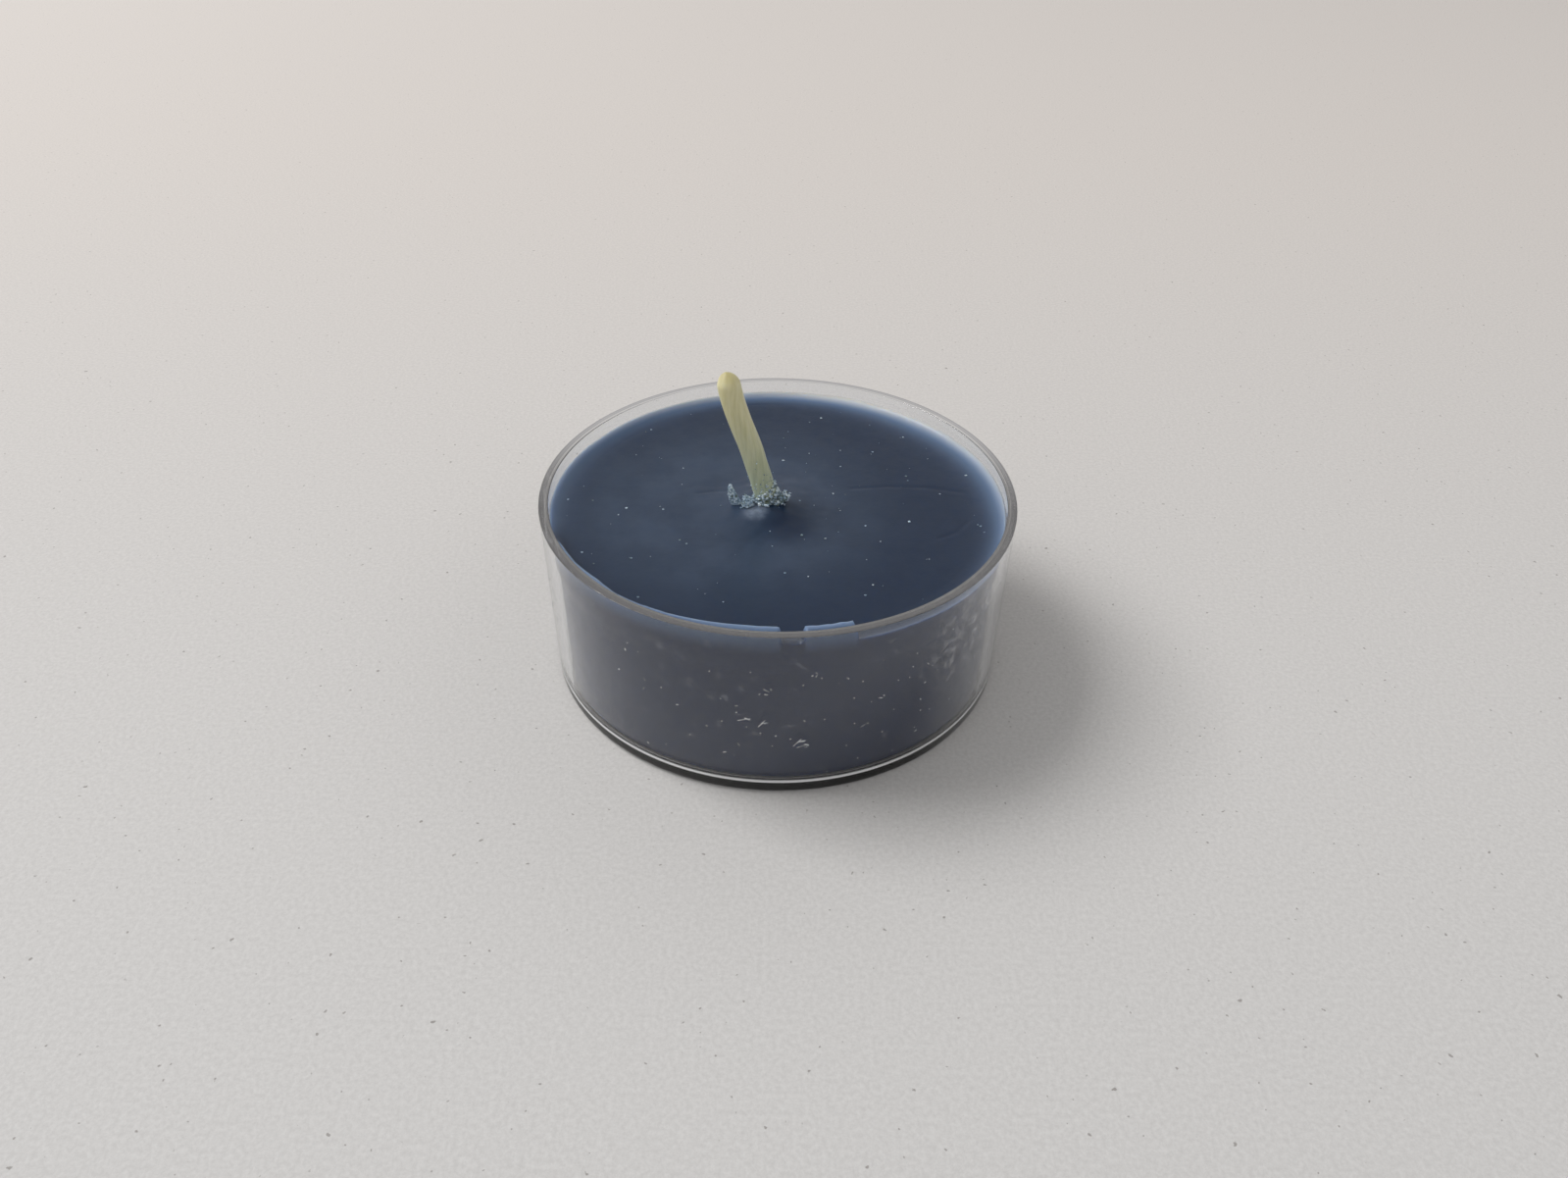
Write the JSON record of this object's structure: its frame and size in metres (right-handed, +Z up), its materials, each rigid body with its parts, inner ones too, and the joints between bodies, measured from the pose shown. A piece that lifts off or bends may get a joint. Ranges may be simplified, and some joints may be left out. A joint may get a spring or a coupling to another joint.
{
  "type": "tea light candle",
  "caption": "Unlit tea light: dark blue wax in a clear plastic cup, with a short leaning wick and crumbs of wax round its foot.",
  "frame": {"origin": "middle of the face that the cup stands on, on the cup's axis", "axes": "+Z up along the cup's axis; +X to the right and +Y away from the viewer in the picture; the wick leans towards -X"},
  "size_m": [0.0384, 0.0384, 0.026],
  "materials": {
    "clear_plastic": "clear moulded polycarbonate, glossy, with light scuffs",
    "blue_wax": "dark slate-blue candle wax, softly glossy, lighter where light comes through its edge",
    "waxed_wick": "waxed cotton, olive cream, translucent",
    "tin_plate": "plain stamped tin plate",
    "wax_crumbs": "pale blue-grey crumbled wax"
  },
  "bodies": {
    "root": {"cup": "clear_plastic", "wax": "blue_wax", "wick": "waxed_wick", "wick_sustainer": "tin_plate", "wick_crust": "wax_crumbs", "wax_curl": "wax_crumbs", "wax_chip_left": "wax_crumbs", "wax_chip_right": "wax_crumbs"}
  },
  "joints": []
}
